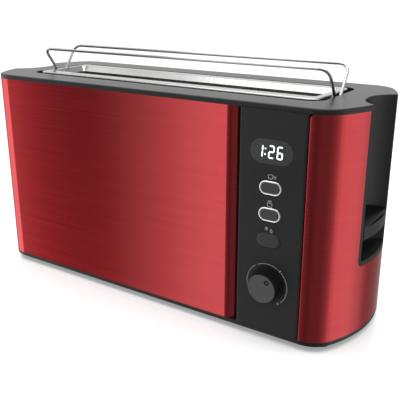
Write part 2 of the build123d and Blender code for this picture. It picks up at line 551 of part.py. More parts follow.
# ---------------------------------------------------------------- heaters, guides, reflectors
for name, s in (("front", -1), ("rear", 1)):
    hz0, hz1 = guide_z0 + 2.0, guide_z1 - 4.0
    m = box(-plate_x + 0.1, plate_x - 0.1, s * heater_y, s * (heater_y + heater_t), hz0, hz1)
    save(name + "_heater_board", m)
    rib = []
    for i in range(ribbon_n):
        z = hz0 + 6 + i * (hz1 - hz0 - 12) / (ribbon_n - 1)
        rib.append(box(-heater_x + 4, heater_x - 4, s * heater_y, s * (heater_y - ribbon_t), z - ribbon_w / 2, z + ribbon_w / 2))
    for i in range(ribbon_n - 1):
        z = hz0 + 6 + i * (hz1 - hz0 - 12) / (ribbon_n - 1)
        z2 = hz0 + 6 + (i + 1) * (hz1 - hz0 - 12) / (ribbon_n - 1)
        x = (heater_x - 4) * (1 if i % 2 else -1)
        rib.append(box(x - 1, x + 1, s * heater_y, s * (heater_y - ribbon_t), z - ribbon_w / 2, z2 + ribbon_w / 2))
    one = rib[0]
    for r in rib[1:]:
        one += r
    save(name + "_heater_ribbon", one)

    y = s * guide_y
    g = rod_x_dir(-plate_x - 3, plate_x + 3, y, guide_z0, guide_wire_r) + rod_x_dir(-plate_x - 3, plate_x + 3, y, guide_z1, guide_wire_r)
    n_wire = 10
    for i in range(n_wire):
        x = -slot_x + 12 + i * (2 * slot_x - 24) / (n_wire - 1)
        g += rod_z_dir(x, y, guide_z0, guide_z1, guide_wire_r * 0.9)
    save(name + "_bread_guide", g)

    rz0, rz1 = guide_z0 - 10.0, slot_bottom - 2.0
    r = box(-plate_x + 0.1, plate_x - 0.1, s * reflector_y, s * (reflector_y + reflector_t), rz0, rz1)
    for z in (rz0, rz1 - reflector_t):
        r += box(-plate_x + 0.1, plate_x - 0.1, s * (reflector_y - reflector_lip), s * (reflector_y + reflector_t), z, z + reflector_t)
    save(name + "_reflector", r)

# ---------------------------------------------------------------- electrics
mb_y = -plate_y
mb = box(plate_x + 2, plate_x + 32, mb_y - board_t, mb_y, 22, 112)
save("main_board", mb)
relay = box(plate_x + 5, plate_x + 17, mb_y - board_t - 9, mb_y - board_t, 84, 100)
relay = fillet(relay.edges().filter_by(Axis.Y), 0.8)
save("relay", relay)
tb = box(plate_x + 2, plate_x + 15, plate_y, plate_y + 9, 24, 44)
for z in (29.0, 34.0, 39.0):
    tb -= rod_y_dir(plate_x + 8.5, plate_y + 3, plate_y + 10, z, 1.6)
save("terminal_block", tb)

# ---------------------------------------------------------------- base, feet, screws, tray
base = body(0, z_base, z_pan0)
base = fillet(base.faces().sort_by(Axis.Z)[0].edges(), 1.2)
base -= body(base_wall, z_base + base_floor_t, z_pan0 + 1)
up = body(sheet_t + gap, z_pan0, z_pan0 + base_up_h) - body(sheet_t + gap + base_up_t, z_pan0 - 1, z_pan0 + base_up_h + 1)
up -= box(roll_x - 2, corner_cx + 2, -half_wid - 5, -half_wid + strip_return + 2, 0, big)
up -= box(-tray_x - tray_clear - 3, corner_cx + 4, half_wid - 14, half_wid + 5, 0, big)
base += up
boss_pts = [(sx * mount_x, sy * mount_y) for sx in (1, -1) for sy in (1, -1)]
for x, y in boss_pts:
    base += rod_z_dir(x, y, z_base + base_floor_t, plate_z0, boss_r)
    base -= rod_z_dir(x, y, z_base - 1, z_base + 2.8, head_r + 0.4)
    base -= rod_z_dir(x, y, z_base - 1, plate_z0 + 1, screw_hole_r)
for x in (foot_x, -foot_x):
    for y in (foot_y, -foot_y):
        base -= rod_z_dir(x, y, 0, z_pan0 + 1, foot_peg_r + 0.05)
vent_n, vent_pitch = 9, 28.0
for i in range(vent_n):
    x = (i - (vent_n - 1) / 2) * vent_pitch
    base -= Pos(x, 0, z_base + 1) * Box(3, 56, 6)
base -= box(-tray_x - tray_clear, tray_x + tray_clear, half_wid - 8, half_wid + 5, tray_z0 - 0.2, z_pan0 + 5)
rail_z = z_base + base_floor_t
for s in (1, -1):
    base += box(s * (tray_x + 0.4), s * (tray_x + 2.4), tray_y0, half_wid - 12, rail_z, rail_z + 6)
save("base", base)

feet = []
for x in (foot_x, -foot_x):
    for y in (foot_y, -foot_y):
        f = rod_z_dir(x, y, 0, foot_h, foot_r)
        f = fillet(f.edges().sort_by(Axis.Z)[0], 0.8)
        f += rod_z_dir(x, y, foot_h, foot_h + 3.5, foot_peg_r)
        feet.append(f)
save("rubber_feet", feet)

screws = []
for x, y in boss_pts:
    b = rod_z_dir(x, y, z_base + 0.4, z_base + 2.8, head_r)
    b += rod_z_dir(x, y, z_base + 2.8, plate_z0 + 4, screw_r)
    b -= Pos(x, y, z_base + 0.7) * Box(4.0, 0.8, 1.8)
    b -= Pos(x, y, z_base + 0.7) * Box(0.8, 4.0, 1.8)
    screws.append(b)
save("base_screws", screws)

tray = box(-tray_x, tray_x, tray_y0, half_wid - 0.4, tray_z0, tray_z0 + tray_h)
tray -= box(-tray_x + tray_t, tray_x - tray_t, tray_y0 + tray_t, half_wid - 2.6, tray_z0 + tray_t, tray_z0 + tray_h + 1)
tray += box(-tray_x, tray_x, half_wid - 2.6, half_wid - 0.4, tray_z0, tray_front_z1)
pull = box(-35, 35, half_wid - 0.4, half_wid - 0.4 + tray_pull, tray_front_z1 - 4.0, tray_front_z1 - 1.0)
pull = fillet(pull.edges().filter_by(Axis.Z).sort_by(Axis.Y)[-2:], 4.0)
tray += pull
save("crumb_tray", tray)
print("half width", half_wid, "corner", round(corner_cx, 3), "strip", round(strip_x0, 2), round(strip_x1, 2))
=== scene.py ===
import math

import bmesh
import bpy
import numpy as np
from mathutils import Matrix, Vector


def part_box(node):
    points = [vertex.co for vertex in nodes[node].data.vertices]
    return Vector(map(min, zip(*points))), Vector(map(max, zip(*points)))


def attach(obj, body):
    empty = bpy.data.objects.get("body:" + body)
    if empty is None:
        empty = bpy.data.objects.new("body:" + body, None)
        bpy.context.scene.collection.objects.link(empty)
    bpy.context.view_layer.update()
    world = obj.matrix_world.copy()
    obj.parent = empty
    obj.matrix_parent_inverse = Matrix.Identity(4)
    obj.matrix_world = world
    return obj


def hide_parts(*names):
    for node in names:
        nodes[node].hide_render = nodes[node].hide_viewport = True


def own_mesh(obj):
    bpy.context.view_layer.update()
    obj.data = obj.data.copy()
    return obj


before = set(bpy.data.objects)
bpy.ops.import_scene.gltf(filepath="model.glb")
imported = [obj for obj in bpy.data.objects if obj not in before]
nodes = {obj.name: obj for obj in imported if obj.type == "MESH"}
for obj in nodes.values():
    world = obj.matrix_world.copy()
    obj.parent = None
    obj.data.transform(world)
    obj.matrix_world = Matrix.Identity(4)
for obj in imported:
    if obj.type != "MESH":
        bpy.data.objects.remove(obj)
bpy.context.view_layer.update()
print("frame loaded:", len(nodes), "nodes")

mm = 0.001

# camera and the room
view = {"place": (0.33087, -0.46826, 0.27382), "down": 18.896, "turn": 33.519, "lens": 56.43}
cameraData = bpy.data.cameras.new("viewCamera")
cameraData.lens = view["lens"]
cameraData.sensor_width = 36.0
camera = bpy.data.objects.new("viewCamera", cameraData)
camera.location = view["place"]
camera.rotation_euler = (math.radians(90 - view["down"]), 0, math.radians(view["turn"]))
bpy.context.scene.collection.objects.link(camera)
bpy.context.scene.camera = camera
bpy.context.scene.view_settings.view_transform = "Standard"


def nodeTree(owner):
    owner.use_nodes = True
    tree = owner.node_tree
    tree.nodes.clear()
    return tree


def addNode(tree, kind, inputs=None, **settings):
    made = tree.nodes.new(kind)
    for key, value in settings.items():
        setattr(made, key, value)
    for key, value in (inputs or {}).items():
        socket = made.inputs[key]
        if isinstance(value, bpy.types.NodeSocket):
            tree.links.new(value, socket)
        else:
            socket.default_value = value
    return made


def rampOf(tree, source, stops):
    ramp = addNode(tree, "ShaderNodeValToRGB", {"Fac": source})
    ramp.color_ramp.interpolation = "EASE"
    items = ramp.color_ramp.elements
    items.remove(items[1])
    for i, (where, value) in enumerate(stops):
        item = items.new(where) if i else items[0]
        item.position = where
        item.color = (value, value, value, 1)
    return ramp.outputs["Color"]


# soft boxes round the room: brightness by compass angle, 0 is the front and positive the lever end;
# low down, the back and the lever end's rear have lines of their own
room = {
    "boxes": [(-180, 0.9), (-165, 1.3), (-130, 1.4), (-100, 0.8), (-75, 1.6), (-58, 1.8), (-52.6, 1.2), (-50.4, 0.35),
              (-48.4, 0.1), (-43, 0.09), (-38, 0.6), (-33, 1.35), (-27, 1.3), (-22, 0.2), (0, 0.13), (20, 0.2),
              (45, 0.2), (62, 0.3), (76, 0.5), (90, 0.95), (104, 1.15), (118, 1.15), (130, 0.8), (146, 0.35),
              (162, 0.5), (180, 0.9)],
    "lowBack": [(-180, 0.35), (-155, 0.26), (-130, 0.16), (-112, 0.32), (-100, 0.7)],
    "lowSide": [(130, 0.8), (146, 0.3), (162, 0.3), (180, 0.35)],
    "level": 0.8, "low": (0.02, 0.22), "high": (0.55, 0.85), "ceiling": (0.8, 0.8, 0.8, 1),
    "strength": 1.25, "backdrop": 1.0,
}
world = bpy.data.worlds.new("studio")
bpy.context.scene.world = world
tree = nodeTree(world)
facing = addNode(tree, "ShaderNodeTexCoord").outputs["Generated"]
axes = addNode(tree, "ShaderNodeSeparateXYZ", {"Vector": facing})
back = addNode(tree, "ShaderNodeMath", {0: axes.outputs["Y"], 1: -1.0}, operation="MULTIPLY")
angle = addNode(tree, "ShaderNodeMath", {0: axes.outputs["X"], 1: back.outputs[0]}, operation="ARCTAN2")
turn = addNode(tree, "ShaderNodeMapRange", {"Value": angle.outputs[0], "From Min": -math.pi, "From Max": math.pi})
between = [p for p in room["boxes"] if room["lowBack"][-1][0] < p[0] < room["lowSide"][0][0]]
upper, lower = (
    rampOf(tree, turn.outputs[0], [((degrees + 180) / 360, value * room["level"]) for degrees, value in line])
    for line in (room["boxes"], room["lowBack"] + between + room["lowSide"]))


# 0 below and 1 above a span of the height that a ray points to
def heightBlend(span):
    return addNode(tree, "ShaderNodeMapRange",
                   {"Value": axes.outputs["Z"], "From Min": span[0], "From Max": span[1]}).outputs[0]


walls = addNode(tree, "ShaderNodeMixRGB", {"Fac": heightBlend(room["low"]), "Color1": lower, "Color2": upper})
blend = addNode(tree, "ShaderNodeMixRGB",
                {"Fac": heightBlend(room["high"]), "Color1": walls.outputs[0], "Color2": room["ceiling"]})
lightBack = addNode(tree, "ShaderNodeBackground", {"Color": blend.outputs[0], "Strength": room["strength"]})
plainBack = addNode(tree, "ShaderNodeBackground", {"Color": (1, 1, 1, 1), "Strength": room["backdrop"]})
rays = addNode(tree, "ShaderNodeLightPath")
pick = addNode(tree, "ShaderNodeMixShader",
               {0: rays.outputs["Is Camera Ray"], 1: lightBack.outputs[0], 2: plainBack.outputs[0]})
addNode(tree, "ShaderNodeOutputWorld", {"Surface": pick.outputs[0]})

overhead = {"place": (0.0, -0.1, 1.3), "aim": (0, 0, 0.1), "size": (1.6, 1.2), "power": 12.0}
boxData = bpy.data.lights.new("topBox", "AREA")
boxData.shape = "RECTANGLE"
boxData.size, boxData.size_y = overhead["size"]
boxData.energy = overhead["power"]
topBox = bpy.data.objects.new("topBox", boxData)
topBox.location = overhead["place"]
topBox.rotation_euler = (Vector(overhead["aim"]) - Vector(overhead["place"])).to_track_quat("-Z", "Y").to_euler()
bpy.context.scene.collection.objects.link(topBox)
print("camera and room")

# how near two points are before they count as one, and how short an edge is before it goes
joinDistance, shortEdge = 1e-7, 1e-8


# faces of a grid of rows by columns, each square joining two neighbours in both directions; the columns go
# round, and so do the rows where asked
def gridFaces(rows, columns, roundRows=False):
    r = np.arange(rows if roundRows else rows - 1)[:, None]
    c = np.arange(columns)[None, :]
    nextRow, nextColumn = (r + 1) % rows, (c + 1) % columns
    corners = (r * columns + c, r * columns + nextColumn, nextRow * columns + nextColumn, nextRow * columns + c)
    return np.stack(corners, -1).reshape(-1, 4).tolist()


def meshObject(name, shapes, material, sharp=35.0, tidy=True):
    verts, faces, base = [], [], 0
    for points, polygons in shapes:
        points = np.asarray(points, float).reshape(-1, 3)
        verts.append(points)
        faces += [[i + base for i in polygon] for polygon in polygons]
        base += len(points)
    mesh = bpy.data.meshes.new(name)
    mesh.from_pydata(np.concatenate(verts).tolist(), [], faces)
    if tidy:  # seams and poles closed, then every face turned outwards
        work = bmesh.new()
        work.from_mesh(mesh)
        bmesh.ops.remove_doubles(work, verts=work.verts, dist=joinDistance)
        bmesh.ops.dissolve_degenerate(work, edges=work.edges, dist=shortEdge)
        bmesh.ops.recalc_face_normals(work, faces=work.faces)
        work.to_mesh(mesh)
        work.free()
    mesh.polygons.foreach_set("use_smooth", np.full(len(mesh.polygons), True))
    mesh.set_sharp_from_angle(angle=math.radians(sharp))
    mesh.materials.append(material)
    made = bpy.data.objects.new(name, mesh)
    bpy.context.scene.collection.objects.link(made)
    return made


def place(piece, body, slot, *replaced):
    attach(piece, body)
    if replaced:
        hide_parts(*replaced)
    return piece


def unitRows(rows):
    return rows / np.linalg.norm(rows, axis=1)[:, None]


# a flat bar carried along a path on the front: at each point the bar reaches half its width to both
# sides, square to the mean of the runs before and after, and is closed from its back to its front
def carriedBar(path, widths, back, front, loop=False):
    path = np.asarray(path, float)
    ahead, behind = np.roll(path, -1, 0) - path, path - np.roll(path, 1, 0)
    if not loop:
        ahead[-1], behind[0] = behind[-1], ahead[0]
    ahead, behind = unitRows(ahead), unitRows(behind)
    along = unitRows(ahead + behind)
    across = np.stack([-along[:, 1], along[:, 0]], 1)
    mitre = 1 / np.clip((along * ahead).sum(1), 0.5, 1)
    half = across * (np.broadcast_to(widths, len(path)) / 2 * mitre)[:, None]
    rails = np.stack([path + half, path + half, path - half, path - half], 1)
    depth = np.broadcast_to(np.array([back, front, front, back]), rails.shape[:2])
    faces = gridFaces(len(path), 4, loop)
    if not loop:
        last = 4 * len(path) - 4
        faces += [[0, 1, 2, 3], [last, last + 1, last + 2, last + 3]]
    return np.stack([rails[..., 0], depth, rails[..., 1]], -1), faces


# a loop with round corners: a quarter circle swept about each of the four corner centres
def roundLoop(halfX, halfZ, radius, steps=14):
    turn = np.radians(np.arange(4)[:, None] * 90 + np.linspace(0, 90, steps)[None, :])
    cornerX = (halfX - radius) * np.array([1, -1, -1, 1])[:, None]
    cornerZ = (halfZ - radius) * np.array([1, 1, -1, -1])[:, None]
    loop = np.stack([cornerX + radius * np.cos(turn), cornerZ + radius * np.sin(turn)], -1).reshape(-1, 2)
    apart = np.linalg.norm(loop - np.roll(loop, -1, 0), axis=1) > joinDistance
    return loop[apart]  # corners that meet share a point


# an oval bead carried round a loop: the bead's angle v moves it off the loop's line by half the width
# times cos v, and out by height sin v
def beadRing(loop, centre, width, height, columns=16):
    along = unitRows(np.roll(loop, -1, 0) - np.roll(loop, 1, 0))
    out = np.stack([along[:, 1], -along[:, 0]], 1)
    v = np.linspace(0, 2 * math.pi, columns, endpoint=False)
    flat = loop[:, None, :] + out[:, None, :] * (width / 2 * np.cos(v))[None, :, None]
    depth = np.broadcast_to(-height * np.sin(v), flat.shape[:2])
    points = np.stack([centre[0] + flat[..., 0], centre[1] + depth, centre[2] + flat[..., 1]], -1)
    return points, gridFaces(len(loop), columns, True)


# a profile of radius and depth turned about a line along Y: the point at angle u is radius cos u across
# and radius sin u up
def turnedShape(profile, centre, steps=96):
    profile = np.asarray(profile, float)
    u = np.linspace(0, 2 * math.pi, steps, endpoint=False)
    radius, depth = profile[:, 0][:, None], profile[:, 1][:, None]
    across, up = radius * np.cos(u), radius * np.sin(u)
    points = np.stack([centre[0] + across, centre[1] + np.broadcast_to(depth, across.shape), centre[2] + up], -1)
    return points, gridFaces(len(profile), steps)


# each inner corner of a profile is cut back by its radius along both runs, and the two cuts are joined by
# a curve of the second degree that the corner pulls towards itself
def softProfile(points, radii, steps=6):
    points = np.asarray(points, float)
    t = np.linspace(0, 1, steps)[:, None]
    out = [points[:1]]
    for i in range(1, len(points) - 1):
        before, after = points[i - 1] - points[i], points[i + 1] - points[i]
        one = points[i] + before / np.linalg.norm(before) * radii[i - 1]
        two = points[i] + after / np.linalg.norm(after) * radii[i - 1]
        out.append((1 - t) ** 2 * one + 2 * t * (1 - t) * points[i] + t ** 2 * two)
    return np.concatenate(out + [points[-1:]])


def finishMaterial(name, build):
    made = bpy.data.materials.new(name)
    tree = nodeTree(made)
    shader = build(tree)
    addNode(tree, "ShaderNodeOutputMaterial", {"Surface": shader})
    return made


def grainNoise(tree, scale, detail=3.0, size=(1, 1, 1), rough=0.5):
    where = addNode(tree, "ShaderNodeTexCoord").outputs["Object"]
    moved = addNode(tree, "ShaderNodeMapping", {"Vector": where, "Scale": size})
    return addNode(tree, "ShaderNodeTexNoise", {
        "Vector": moved.outputs[0], "Scale": scale, "Detail": detail, "Roughness": rough}).outputs["Fac"]


# a noise's middle half stretched to the range from low to high
def spread(tree, source, low, high):
    return addNode(tree, "ShaderNodeMapRange", {
        "Value": source, "From Min": 0.25, "From Max": 0.75, "To Min": low, "To Max": high}).outputs[0]


def bumpOf(tree, source, strength, distance):
    return addNode(tree, "ShaderNodeBump", {"Height": source, "Strength": strength, "Distance": distance}).outputs[0]


def mixColour(tree, factor, one, two):
    return addNode(tree, "ShaderNodeMixRGB", {"Fac": factor, "Color1": (*one, 1), "Color2": (*two, 1)}).outputs[0]


# lacquered steel, brushed round the body
lacquer = {"deep": (0.5, 0.026, 0.032), "light": (0.54, 0.031, 0.038), "rough": (0.2, 0.29),
           "coat": 0.75, "coatRough": 0.07, "edge": (1.0, 0.3, 0.3, 1)}


def redSteel(tree):
    lines = grainNoise(tree, 1.0, 4.0, (3.0, 3.0, 2600.0), 0.7)
    broad = grainNoise(tree, 1.0, 2.0, (9.0, 9.0, 420.0))
    return addNode(tree, "ShaderNodeBsdfPrincipled", {
        "Base Color": mixColour(tree, spread(tree, broad, 0.0, 1.0), lacquer["deep"], lacquer["light"]),
        "Metallic": 1.0, "Roughness": spread(tree, lines, *lacquer["rough"]), "Specular Tint": lacquer["edge"],
        "Anisotropic": 0.85, "Anisotropic Rotation": 0.25,
        "Coat Weight": lacquer["coat"], "Coat Roughness": lacquer["coatRough"],
        "Tangent": addNode(tree, "ShaderNodeTangent", direction_type="RADIAL", axis="Z").outputs[0],
        "Normal": bumpOf(tree, lines, 0.06, 0.00002),
    }).outputs[0]


def plastic(colour, rough, grain=2200.0, depth=0.12, level=0.5):
    def build(tree):
        fine = grainNoise(tree, grain, 2.0)
        slow = grainNoise(tree, 18.0, 2.0)
        light = tuple(min(1.0, c * 1.25 + 0.002) for c in colour)
        return addNode(tree, "ShaderNodeBsdfPrincipled", {
            "Base Color": mixColour(tree, spread(tree, slow, 0.0, 1.0), colour, light),
            "Roughness": spread(tree, fine, *rough), "Specular IOR Level": level,
            "Normal": bumpOf(tree, fine, depth, 0.00004),
        }).outputs[0]
    return build


def metal(colour, rough, scale=300.0, depth=0.05, size=(1, 1, 1)):
    def build(tree):
        lines = grainNoise(tree, scale, 3.0, size)
        slow = grainNoise(tree, 25.0, 2.0)
        dark = tuple(c * 0.86 for c in colour)
        return addNode(tree, "ShaderNodeBsdfPrincipled", {
            "Base Color": mixColour(tree, spread(tree, slow, 0.0, 1.0), dark, colour), "Metallic": 1.0,
            "Roughness": spread(tree, lines, *rough),
            "Normal": bumpOf(tree, lines, depth, 0.00003),
        }).outputs[0]
    return build


# painted shade: the lever's faces that look up are painted darker than its front face
def leverBlackPaintedShade(tree):
    fine = grainNoise(tree, 1500.0, 2.0)
    normal = addNode(tree, "ShaderNodeNewGeometry").outputs["Normal"]
    parts = addNode(tree, "ShaderNodeSeparateXYZ", {"Vector": normal})
    up = addNode(tree, "ShaderNodeMapRange", {"Value": parts.outputs["Z"], "From Min": 0.25, "From Max": 0.8})
    return addNode(tree, "ShaderNodeBsdfPrincipled", {
        # painted shade: almost black where the normal points up, lighter satin black on the front
        "Base Color": mixColour(tree, up.outputs[0], (0.024, 0.024, 0.024), (0.0015, 0.0015, 0.0015)),
        "Roughness": spread(tree, fine, 0.28, 0.36), "Specular IOR Level": 0.12,
        "Normal": bumpOf(tree, fine, 0.05, 0.00004),
    }).outputs[0]


def ringGlow(tree):
    fine = grainNoise(tree, 1500.0, 2.0)
    return addNode(tree, "ShaderNodeBsdfPrincipled", {
        "Base Color": mixColour(tree, spread(tree, fine, 0.0, 1.0), (0.8, 0.81, 0.82), (0.9, 0.91, 0.92)),
        "Roughness": spread(tree, fine, 0.14, 0.22), "Metallic": 0.8,
        "Emission Color": (1, 1, 1, 1), "Emission Strength": 0.1,
    }).outputs[0]


def litDigit(tree):
    fine = grainNoise(tree, 900.0, 2.0)
    return addNode(tree, "ShaderNodeBsdfPrincipled", {
        "Base Color": (0.85, 0.87, 0.9, 1), "Roughness": spread(tree, fine, 0.3, 0.4),
        "Emission Color": mixColour(tree, spread(tree, fine, 0.0, 1.0), (0.92, 0.96, 1.0), (1.0, 1.0, 1.0)),
        "Emission Strength": 1.1,
    }).outputs[0]


def grey(value):
    return (value, value, value)


# each finish and the nodes that wear it
finishes = {
    "redSteel": (redSteel, ["left_panel", "right_panel"]),
    "blackSatin": (plastic(grey(0.008), (0.3, 0.38), level=0.3), ["top_cover", "rear_column", "base", "cord_gland"]),
    "channelSatin": (plastic(grey(0.007), (0.4, 0.5), level=0.3), ["right_channel", "left_channel"]),
    "stripSatin": (plastic(grey(0.010), (0.38, 0.5), level=0.3), ["control_panel"]),
    "leverSatinPaintedShade": (leverBlackPaintedShade, ["lever_handle"]),
    "knobBlack": (plastic(grey(0.006), (0.35, 0.45), level=0.15), []),
    "knobFace": (plastic(grey(0.055), (0.45, 0.55), level=0.3), []),
    "buttonSatin": (plastic(grey(0.033), (0.35, 0.45), level=0.4), ["button_reheat", "button_cancel"]),
    "defrostSatin": (plastic(grey(0.022), (0.35, 0.45), level=0.4), ["button_defrost"]),
    "displaySmoke": (plastic((0.024, 0.025, 0.026), (0.25, 0.33), 1500.0, 0.05, 0.35),
                     ["display_window", "display_module"]),
    "slotSteel": (metal((0.5, 0.495, 0.485), (0.16, 0.26), 1.0, 0.05, (400, 6, 6)), ["slot_frame"]),
    "chromeWire": (metal(grey(0.5), (0.06, 0.11), 500.0, 0.02), ["front_rack_wire", "rear_rack_wire"]),
    "zincSheet": (metal((0.62, 0.63, 0.64), (0.3, 0.45), 120.0, 0.06),
                  ["left_end_plate", "right_end_plate", "front_reflector", "rear_reflector", "rack_bracket_left",
                   "rack_bracket_right", "carriage_bracket", "lever_arm", "crumb_tray"]),
    "guideSteel": (metal((0.55, 0.54, 0.52), (0.25, 0.4), 200.0, 0.04),
                   ["front_bread_guide", "rear_bread_guide", "bread_lift"]),
    "groundSteel": (metal(grey(0.6), (0.12, 0.22), 350.0, 0.03),
                    ["guide_rods", "keeper_plate", "lift_spring", "knob_shaft", "base_screws", "board_screws"]),
    "nylonNatural": (plastic((0.72, 0.69, 0.6), (0.4, 0.5)), ["carriage_bushes"]),
    "windingCopper": (metal((0.6, 0.28, 0.12), (0.25, 0.35), 1.0, 0.2, (1, 1, 900)), ["latch_magnet"]),
    "micaSheet": (plastic((0.45, 0.38, 0.26), (0.3, 0.6), 260.0, 0.2), ["front_heater_board", "rear_heater_board"]),
    "ribbonAlloy": (metal((0.3, 0.27, 0.24), (0.35, 0.5), 400.0, 0.05),
                    ["front_heater_ribbon", "rear_heater_ribbon"]),
    "boardGreen": (plastic((0.02, 0.12, 0.04), (0.3, 0.42), 700.0, 0.08), ["control_board", "main_board"]),
    "partBlack": (plastic((0.02, 0.02, 0.021), (0.35, 0.5), 1200.0, 0.1),
                  ["tact_switches", "potentiometer", "relay"]),
    "terminalWhite": (plastic((0.7, 0.69, 0.65), (0.4, 0.5)), ["terminal_block"]),
    "footRubber": (plastic(grey(0.012), (0.6, 0.75), 1400.0, 0.25), ["rubber_feet"]),
    "markGrey": (plastic(grey(0.26), (0.45, 0.55)), []),
    "markPale": (plastic(grey(0.27), (0.45, 0.55)), []),
    "ringChrome": (ringGlow, ["ring_reheat", "ring_cancel"]),
    "litDigit": (litDigit, []),
}
materials = {}
for name, (build, owners) in finishes.items():
    materials[name] = finishMaterial(name, build)
    for owner in owners:
        held = nodes[owner].data.materials
        if not len(held):
            held.append(materials[name])
        for i in range(len(held)):
            held[i] = materials[name]
print("finishes:", len(materials))


# a node's low corner, high corner and middle
def middle(node):
    low, high = (np.array(v, float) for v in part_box(node))
    return low, high, (low + high) / 2


# lit time on the display: seven-bar digits, each bar narrow at its ends
digits = {"text": "1:26", "height": 10.0, "width": 4.95, "bar": 1.05, "slant": 0.06,
          "starts": [-11.4, -6.5, -2.0, 5.0], "dot": 1.3, "dotRise": 0.24,
          "tip": 0.14, "shoulder": 0.55, "tipWidth": 0.3, "sunk": 0.02, "proud": 0.06}
bars = {"a": ((0, 1), (1, 1)), "b": ((1, 1), (1, 0.5)), "c": ((1, 0.5), (1, 0)), "d": ((0, 0), (1, 0)),
        "e": ((0, 0.5), (0, 0)), "f": ((0, 1), (0, 0.5)), "g": ((0, 0.5), (1, 0.5))}
lit = {"1": "bc", "2": "abged", "6": "afgedc"}


def timeDigits():
    low, _, centre = middle("display_window")
    back, face = low[1] + digits["sunk"] * mm, low[1] - digits["proud"] * mm
    bar, dot = digits["bar"], digits["dot"]
    tall, wide = digits["height"] - bar, digits["width"] - bar
    tip, shoulder = bar * digits["tip"], bar * digits["shoulder"]
    widths = np.array([digits["tipWidth"], 1, 1, digits["tipWidth"]]) * bar * mm
    shapes = []

    # the digits lean: a point moves along by the slant times its height
    def lean(points):
        points = np.asarray(points, float)
        across = points[:, 0] + digits["slant"] * points[:, 1]
        return np.stack([centre[0] + across * mm, centre[2] + points[:, 1] * mm], 1)

    for mark, start in zip(digits["text"], digits["starts"]):
        if mark == ":":
            for up in (-digits["dotRise"], digits["dotRise"]):
                loop = roundLoop(dot / 4, dot / 4, dot / 4, 6) + (start + dot, up * tall)
                shapes.append(carriedBar(lean(loop), dot / 2 * mm, back, face, True))
            continue
        for name in lit[mark]:
            one, two = (np.array([start + p[0] * wide, (p[1] - 0.5) * tall]) for p in bars[name])
            run = (two - one) / np.linalg.norm(two - one)
            ends = np.array([one + run * tip, one + run * shoulder, two - run * shoulder, two - run * tip])
            shapes.append(carriedBar(lean(ends), widths, back, face))
    return place(meshObject("timeDigits", shapes, materials["litDigit"]), "housing", "light_ring")


timeDigits()
print("display digits")

# the printed marks over the buttons: a slice with rising heat, slices coming up, a snowflake with a drop
marks = {"line": 0.48, "above": 8.8, "cancelDrop": 1.1, "slice": (1.75, 1.3), "sunk": 0.02, "proud": 0.05,
         "stem": [(0, -1.3), (0, -2.3)], "waves": (3.2, 4.2), "waveReach": 1.1, "waveWidth": 0.28, "waveTurns": 3.4,
         "waveDrop": 0.2, "bracket": [(-1.3, 2.3), (-1.3, 3.4), (1.3, 3.4), (1.3, 2.3)],
         "slash": [(-1.2, 2.4), (1.2, 3.3)], "arm": 1.55, "armTurns": [90, 30, 150], "flake": (1.9, -0.7),
         "drop": (2.2, -0.6), "dropSize": (1.25, 1.45), "dropPoint": 1.4, "dropSteps": 26, "dropStart": 0.05}
sliceOutline = np.array([(-1, -1), (1, -1), (1, 0.3), (1.22, 0.6), (1.12, 1.0), (0.7, 1.2), (-0.7, 1.2),
                         (-1.12, 1.0), (-1.22, 0.6), (-1, 0.3)])


def stripPoint(points, centre):
    points = np.asarray(points, float)
    return np.stack([centre[0] + points[:, 0] * mm, centre[2] + points[:, 1] * mm], 1)


def printedMarks():
    front = middle("control_panel")[0][1]
    back, face, line = front + marks["sunk"] * mm, front - marks["proud"] * mm, marks["line"] * mm
    shapes = []

    def markPlace(node, drop=0.0):
        centre = middle(node)[2]
        return np.array([centre[0], 0, centre[2] + (marks["above"] - drop) * mm])

    def stroke(points, over, wide=1.0, loop=False):
        shapes.append(carriedBar(stripPoint(points, over), line * wide, back, face, loop))

    over = markPlace("button_reheat")
    bread = sliceOutline * marks["slice"]
    wave = np.linspace(-marks["waveReach"], marks["waveReach"], 15)
    stroke(bread, over, loop=True)
    stroke(marks["stem"], over, 1.4)
    for x in marks["waves"]:
        sway = x + marks["waveWidth"] * np.sin(wave * marks["waveTurns"])
        stroke(np.stack([sway, wave - marks["waveDrop"]], 1), over)
    over = markPlace("button_cancel", marks["cancelDrop"])
    stroke(bread, over, loop=True)
    stroke(marks["bracket"], over)
    stroke(marks["slash"], over, 0.9)
    over = markPlace("button_defrost")
    for turn in np.radians(marks["armTurns"]):
        arm = np.array([np.cos(turn), np.sin(turn)]) * marks["arm"]
        stroke([-arm - marks["flake"], arm - marks["flake"]], over, 1.15)
    # a drop: across goes as sin t times a power of sin of half t, which brings it to a point at the top
    t = np.linspace(0, 2 * math.pi, marks["dropSteps"], endpoint=False) + marks["dropStart"]
    across = marks["drop"][0] + marks["dropSize"][0] * np.sin(t) * np.sin(t / 2) ** marks["dropPoint"]
    stroke(np.stack([across, marks["drop"][1] + marks["dropSize"][1] * np.cos(t)], 1), over, loop=True)
    return place(meshObject("buttonMarks", shapes, materials["markGrey"]), "housing", "light_ring")


printedMarks()

# the browning scale round the knob: arcs with gaps, and short strokes at the steps
scale = {"radius": 17.7, "line": 0.4, "arcs": [(196, 126), (119, 56), (48, -46)],
         "strokes": [(52, 17.0, 18.9, 0.9), (-54, 16.6, 18.3, 0.8)], "sunk": 0.02, "proud": 0.05}


